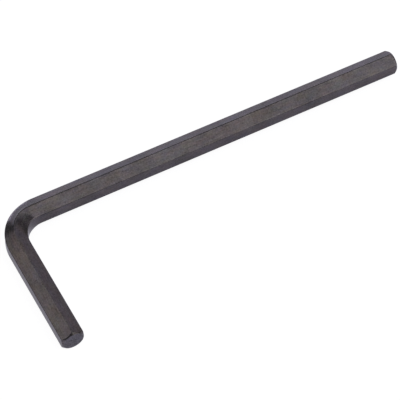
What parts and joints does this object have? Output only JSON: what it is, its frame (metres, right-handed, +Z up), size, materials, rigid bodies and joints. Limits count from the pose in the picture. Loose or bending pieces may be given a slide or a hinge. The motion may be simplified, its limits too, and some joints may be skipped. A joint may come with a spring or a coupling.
{
  "type": "hex key",
  "caption": "Hexagon steel bar bent into a long and a short arm with chamfered tips, black oxide finish, for turning socket-head screws.",
  "frame": {"origin": "middle of the key's box in X and Y, on the surface that it lies on", "axes": "+X along the long arm towards its tip, -Y along the short arm towards its tip, +Z up and square to both arms"},
  "size_m": [0.08, 0.0282, 0.0045],
  "materials": {
    "black_oxide_steel": "satin black oxide on drawn steel bar"
  },
  "bodies": {
    "root": {"hex_key": "black_oxide_steel"}
  },
  "joints": []
}
